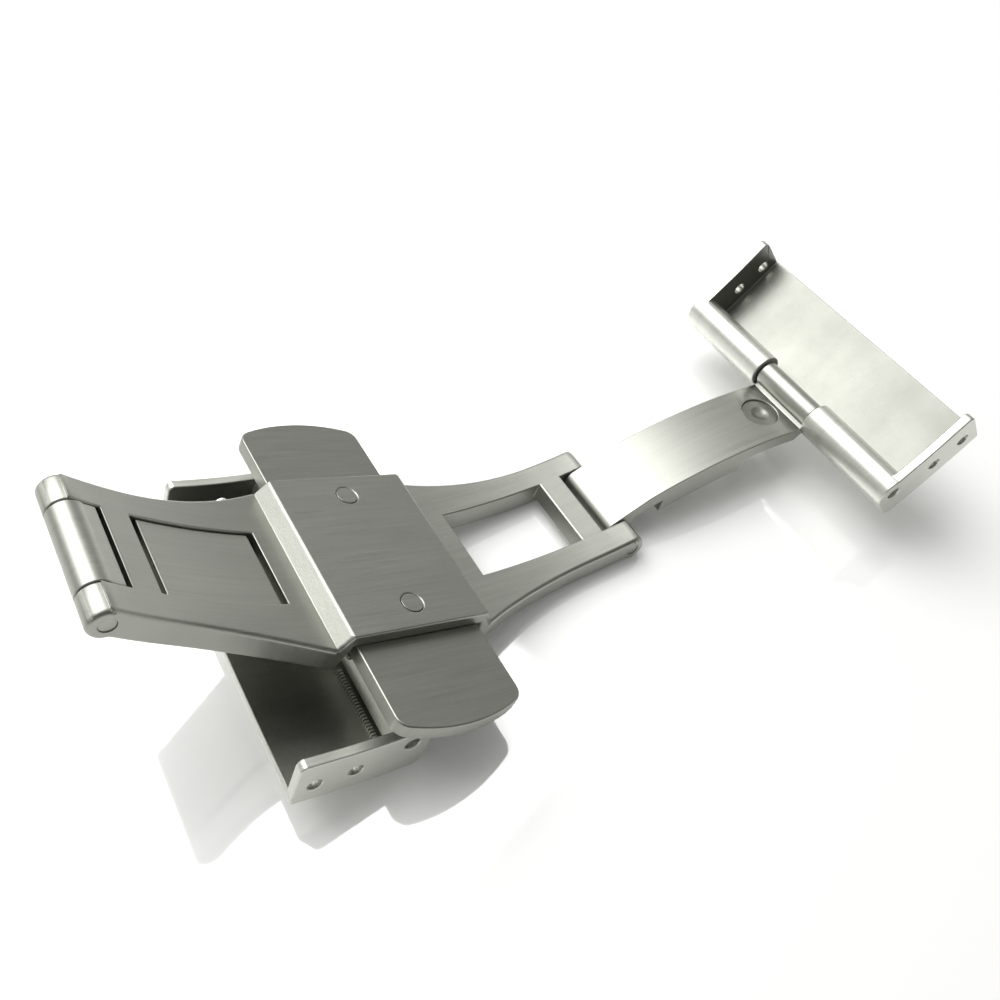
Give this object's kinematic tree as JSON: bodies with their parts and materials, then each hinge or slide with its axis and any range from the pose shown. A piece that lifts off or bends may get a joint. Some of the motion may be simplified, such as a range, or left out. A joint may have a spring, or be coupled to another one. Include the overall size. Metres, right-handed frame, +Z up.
{
  "type": "deployant clasp",
  "caption": "Double-folding steel deployant clasp for a watch strap: base with push buttons and catch, folding blades and hinged strap covers, one half folded and the other open.",
  "frame": {"origin": "centre of the footprint on the surface that the clasp lies on, wrist side up", "axes": "+X along the strap from the folded half to the open half, +Y across the strap, +Z up"},
  "size_m": [0.0524, 0.023, 0.0147],
  "materials": {
    "spring_wire": "drawn spring wire",
    "pin_steel": "turned, satin",
    "cover_sheet_steel": "stamped sheet, satin outside and dull inside",
    "blade_steel": "brushed along its length",
    "stud_steel": "turned and riveted",
    "rivet_steel": "riveted flush and brushed over",
    "retainer_steel": "rolled sheet",
    "button_steel": "polished",
    "base_steel": "brushed face, satin bevels"
  },
  "bodies": {
    "base": {"base_frame": "base_steel", "button_retainer": "retainer_steel", "rivet_front": "rivet_steel", "rivet_rear": "rivet_steel", "fork_pin_left": "pin_steel", "fork_pin_right": "pin_steel", "button_spring_left": "spring_wire", "button_spring_right": "spring_wire"},
    "button_front": {"button_front": "button_steel"},
    "button_rear": {"button_rear": "button_steel"},
    "blade_left": {"blade_left": "blade_steel", "catch_stud_left": "stud_steel", "cover_pin_left": "pin_steel"},
    "blade_right": {"blade_right": "blade_steel", "catch_stud_right": "stud_steel", "cover_pin_right": "pin_steel"},
    "cover_left": {"cover_left": "cover_sheet_steel"},
    "cover_right": {"cover_right": "cover_sheet_steel"}
  },
  "joints": [
    {"name": "blade_left_hinge", "type": "hinge", "parent": "base", "child": "blade_left", "pos_m": [-0.02529, 0, 0.01377], "axis": [0, 1, 0], "range_deg": [0, 193.5]},
    {"name": "cover_left_hinge", "type": "hinge", "parent": "blade_left", "child": "cover_left", "pos_m": [-0.01412, 0, 0.00234], "axis": [0, -1, 0], "range_deg": [0, 124.5]},
    {"name": "blade_right_hinge", "type": "hinge", "parent": "base", "child": "blade_right", "pos_m": [0.00433, 0, 0.0009], "axis": [0, -1, 0], "range_deg": [-193.5, 0]},
    {"name": "cover_right_hinge", "type": "hinge", "parent": "blade_right", "child": "cover_right", "pos_m": [0.01996, 0, 0.00428], "axis": [0, 1, 0], "range_deg": [-124.5, 0]},
    {"name": "button_front_slide", "type": "slide", "parent": "base", "child": "button_front", "axis": [0, 1, 0], "range_m": [0, 0.0008], "stiffness_N_per_m": 300, "springref_m": -0.0004, "deforming": ["button_spring_right"]},
    {"name": "button_rear_slide", "type": "slide", "parent": "base", "child": "button_rear", "axis": [0, -1, 0], "range_m": [0, 0.0008], "stiffness_N_per_m": 300, "springref_m": -0.0004, "deforming": ["button_spring_left"]}
  ],
  "couplings": [
    {"joint": "cover_left_hinge", "follows": "blade_left_hinge", "ratio": 0.64341},
    {"joint": "cover_right_hinge", "follows": "blade_right_hinge", "ratio": 0.64341}
  ]
}
